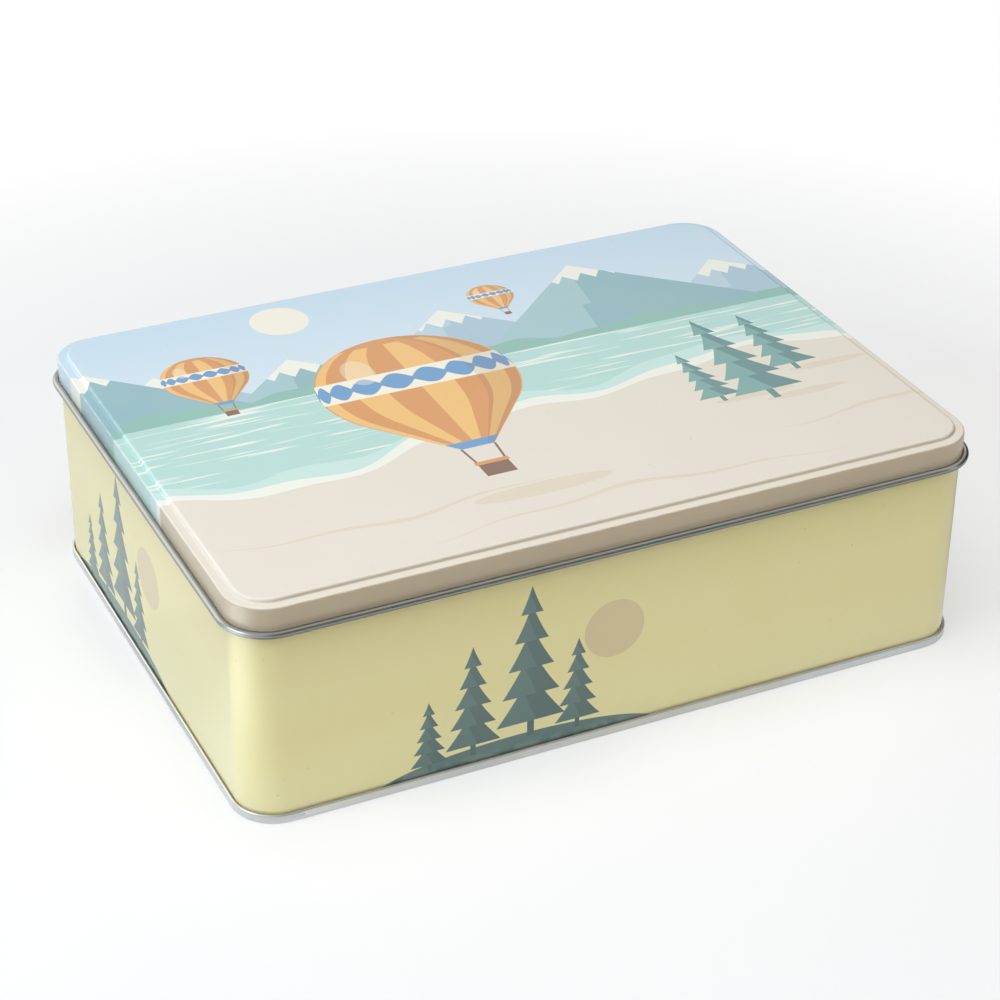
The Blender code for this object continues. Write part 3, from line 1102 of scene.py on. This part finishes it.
back = np.array([
    math.sin(AZIMUTH) * math.cos(ELEVATION),
    -math.cos(AZIMUTH) * math.cos(ELEVATION),
    math.sin(ELEVATION),
])
level = np.cross([0, 0, 1], back)
level = level / np.linalg.norm(level)
upright = np.cross(back, level)
right = math.cos(ROLL) * level + math.sin(ROLL) * upright
up = math.cos(ROLL) * upright - math.sin(ROLL) * level
placement = np.eye(4)
placement[:3, :3] = np.stack([right, up, back], axis=1)
placement[:3, 3] = back * DISTANCE + right * SLIDE[0] + up * SLIDE[1]
camera_data = bpy.data.cameras.new("camera")
camera_data.lens = LENS
camera_data.sensor_width = 36
camera = bpy.data.objects.new("camera", camera_data)
camera.matrix_world = Matrix(placement.tolist())
bpy.context.scene.collection.objects.link(camera)
bpy.context.scene.camera = camera
print("camera at", np.round(placement[:3, 3], 3))

# %% [markdown]
# ## Lights
# Product shots of tins use big soft boxes, because a small lamp would leave hard glints on the lacquer. The
# largest box hangs over the front of the tin. From there its light only grazes the front wall, and the lid's
# curl shades the top of it. A cooler box lights the left end and a weak one fills in from the right. A small
# one behind the tin stands so low that it reaches the back wall and not the lid. The powers were fitted by
# rendering one lamp at a time: light adds up, so the best powers are a least squares solution.

# %% Soft boxes
COOL = (0.74, 0.86, 1.0)


def soft_box(name, place, size, power, tint=(1, 1, 1)):
    """A square area light of a given side, which faces the tin."""
    light = bpy.data.lights.new(name, "AREA")
    light.size = size
    light.energy = power
    light.color = tint
    lamp = bpy.data.objects.new(name, light)
    lamp.location = place
    lamp.rotation_euler = (-Vector(place)).to_track_quat("-Z", "Y").to_euler()
    bpy.context.scene.collection.objects.link(lamp)
    return lamp


soft_box("box_above", place=(-0.26, -0.24, 1.12), size=1.15, power=12.2).visible_glossy = False
soft_box("box_left", place=(-1.15, -0.10, 0.55), size=0.7, power=6.4, tint=COOL)
soft_box("box_right", place=(0.95, -0.80, 0.55), size=0.7, power=3.1).visible_glossy = False
soft_box("box_back", place=(0.25, 1.15, 0.15), size=0.26, power=2.8).visible_glossy = False

# %% [markdown]
# ## The room
# The world adds an even glow. To the camera and to reflections it is plain white, which keeps the ground
# white and the tinplate bright without more light falling on the tin.

# %% World
def seen_share(wire):
    """1 for rays from the camera and rays in reflections or glass, and 0 for rays that carry light."""
    kinds = ("Is Camera Ray", "Is Glossy Ray", "Is Transmission Ray")
    camera_ray, glossy, through = (wire.node("ShaderNodeLightPath", output=kind) for kind in kinds)
    return camera_ray.largest(glossy).largest(through)


GLOW = 0.06
world = bpy.data.worlds.new("studio")
world.use_nodes = True
bpy.context.scene.world = world
sky = world.node_tree.nodes["Background"]
seen = seen_share(Wire(world.node_tree))
sky.inputs["Color"].default_value = (1, 1, 1, 1)
world.node_tree.links.new((seen * (1 - GLOW) + GLOW).socket, sky.inputs["Strength"])
bpy.context.scene.view_settings.view_transform = "Standard"
print("glow on the tin:", GLOW)

# %% [markdown]
# ## What the tin reflects
# Metal and lacquer show what is round them, and in an all white room they would look like chalk. In the
# reference view the wall's ink is equally bright all round, and the left end looks paler only because its
# lacquer reflects something bright. So reflections are set apart from light: the cards and the lamp here are
# seen by reflections alone. A grey card in front tones the curl, a black one draws a dark line round the
# right corner, and a lamp behind the left end brightens the edges there.

# %% Standing cards, and a lamp for reflections
def quad(name, corners):
    """An object of one four-sided face."""
    mesh = bpy.data.meshes.new(name)
    mesh.from_pydata(corners, [], [(0, 1, 2, 3)])
    item = bpy.data.objects.new(name, mesh)
    bpy.context.scene.collection.objects.link(item)
    return item


def only_reflected(item):
    """Lets only glossy rays see an object, so it shows in reflections and nowhere else."""
    item.visible_camera = False
    item.visible_diffuse = False
    item.visible_shadow = False


def matt_paint(name, grey):
    """A dull paint of one grey, its shader, and wires for x and y."""
    paint, shader, _, (x, y, _) = start_material(name)
    plug(shader, Base_Color=(grey, grey, grey, 1.0), Roughness=0.9, Specular_IOR_Level=0.1)
    return paint, shader, x, y


def standing_card(name, left, right, height, grey):
    """A card that stands on the floor between two places."""
    card = quad(name, [(*left, 0), (*right, 0), (*right, height), (*left, height)])
    only_reflected(card)
    card.data.materials.append(matt_paint(name + "_paint", grey)[0])
    print(name, "is", height, "metres high")


standing_card("grey_card", left=(-0.30, -0.50), right=(0.46, -0.50), height=0.72, grey=0.38)
standing_card("black_card", left=(0.45, -0.25), right=(0.45, 0.75), height=0.28, grey=0.03)
soft_box("box_behind", place=(-0.80, 1.25, 0.60), size=1.2, power=5.0).visible_diffuse = False

# %% [markdown]
# ## Cards on the floor
# An upright wall that is seen from above mirrors the floor beside it, never a lamp. So the bright patch that
# the front left corner shows is laid on the floor, and so is the dark one behind the right end. A card with a
# plain edge would draw that edge on the tin, so its light changes smoothly from its middle outward.

# %% Lying cards
CARD_LIGHT = (0.93, 0.97, 1.0, 1.0)
CARD_HEIGHT = 0.001


def level_quad(name, middle, reach, height):
    """A level rectangle, which reaches so far along x and y from its middle."""
    signs = np.array([(-1, -1, 0), (1, -1, 0), (1, 1, 0), (-1, 1, 0)])
    return quad(name, ((*middle, height) + signs * (*reach, 0)).tolist())


def lying_card(name, middle, reach, edge, peak):
    """A card just over the floor, whose own light is edge + (peak - edge) max(1 - u^2 - v^2, 0)^2.

    u and v are the places along and across it, in reaches from its middle.
    """
    card = level_quad(name, middle, reach, CARD_HEIGHT)
    only_reflected(card)
    paint, _, _, (x, y, _) = start_material(name + "_paint")
    u = (x - middle[0]) / reach[0]
    v = (y - middle[1]) / reach[1]
    share = (1 - u * u - v * v).largest(0)
    dim, bright = (x.node("ShaderNodeEmission", {"Color": CARD_LIGHT, "Strength": light}) for light in (edge, peak))
    light = x.node("ShaderNodeMixShader", {0: share * share, 1: dim, 2: bright})
    paint.node_tree.links.new(light.socket, paint.node_tree.nodes["Material Output"].inputs["Surface"])
    card.data.materials.append(paint)
    print(name, "goes from", edge, "at its edge to", peak, "in its middle")


lying_card("bright_card", middle=(-0.245, -0.080), reach=(0.135, 0.110), edge=0.8, peak=4.0)
lying_card("dark_card", middle=(0.170, 0.010), reach=(0.110, 0.130), edge=0.8, peak=0.0)

# %% [markdown]
# ## The floor
# The floor is a plain white sheet that keeps the tin's soft shadow. Far from the tin its own light would
# fall off to grey, so beyond a radius it fades into a surface as white as the world, for the camera and in
# reflections. That fade is a function of the distance from the tin, on the floor's coordinates. Beside the
# tin a share of it stays on for the camera alone, because the ground in the reference view is nearly white.

# %% Floor
FLOOR_REACH = 6.0
FADE_START = 0.12
FADE_END = 0.42
FADE_NEAR = 0.45
floor = level_quad("floor", (0, 0), (FLOOR_REACH, FLOOR_REACH), 0)
paper, shader, x, y = matt_paint("white_paper", 0.92)
away = ((x * x + y * y).root() - FADE_START) / (FADE_END - FADE_START)
camera_share = away.node("ShaderNodeLightPath", output="Is Camera Ray")
fade = away.largest(camera_share * FADE_NEAR).smallest(1) * seen_share(away)
glow = away.node("ShaderNodeEmission", {"Color": (1.0, 1.0, 1.0, 1.0), "Strength": 1.0})
blend = away.node("ShaderNodeMixShader", {0: fade, 1: Wire(paper.node_tree, shader.outputs[0]), 2: glow})
output = paper.node_tree.nodes["Material Output"]
paper.node_tree.links.new(blend.socket, output.inputs["Surface"])
floor.data.materials.append(paper)
print("floor fades from", FADE_START, "to", FADE_END, "metres")

# %% [markdown]
# ## Finish
# The finished scene should fill the same box as the CAD model. The last step brings the view layer up to date.

# %% Finish
bpy.context.view_layer.update()
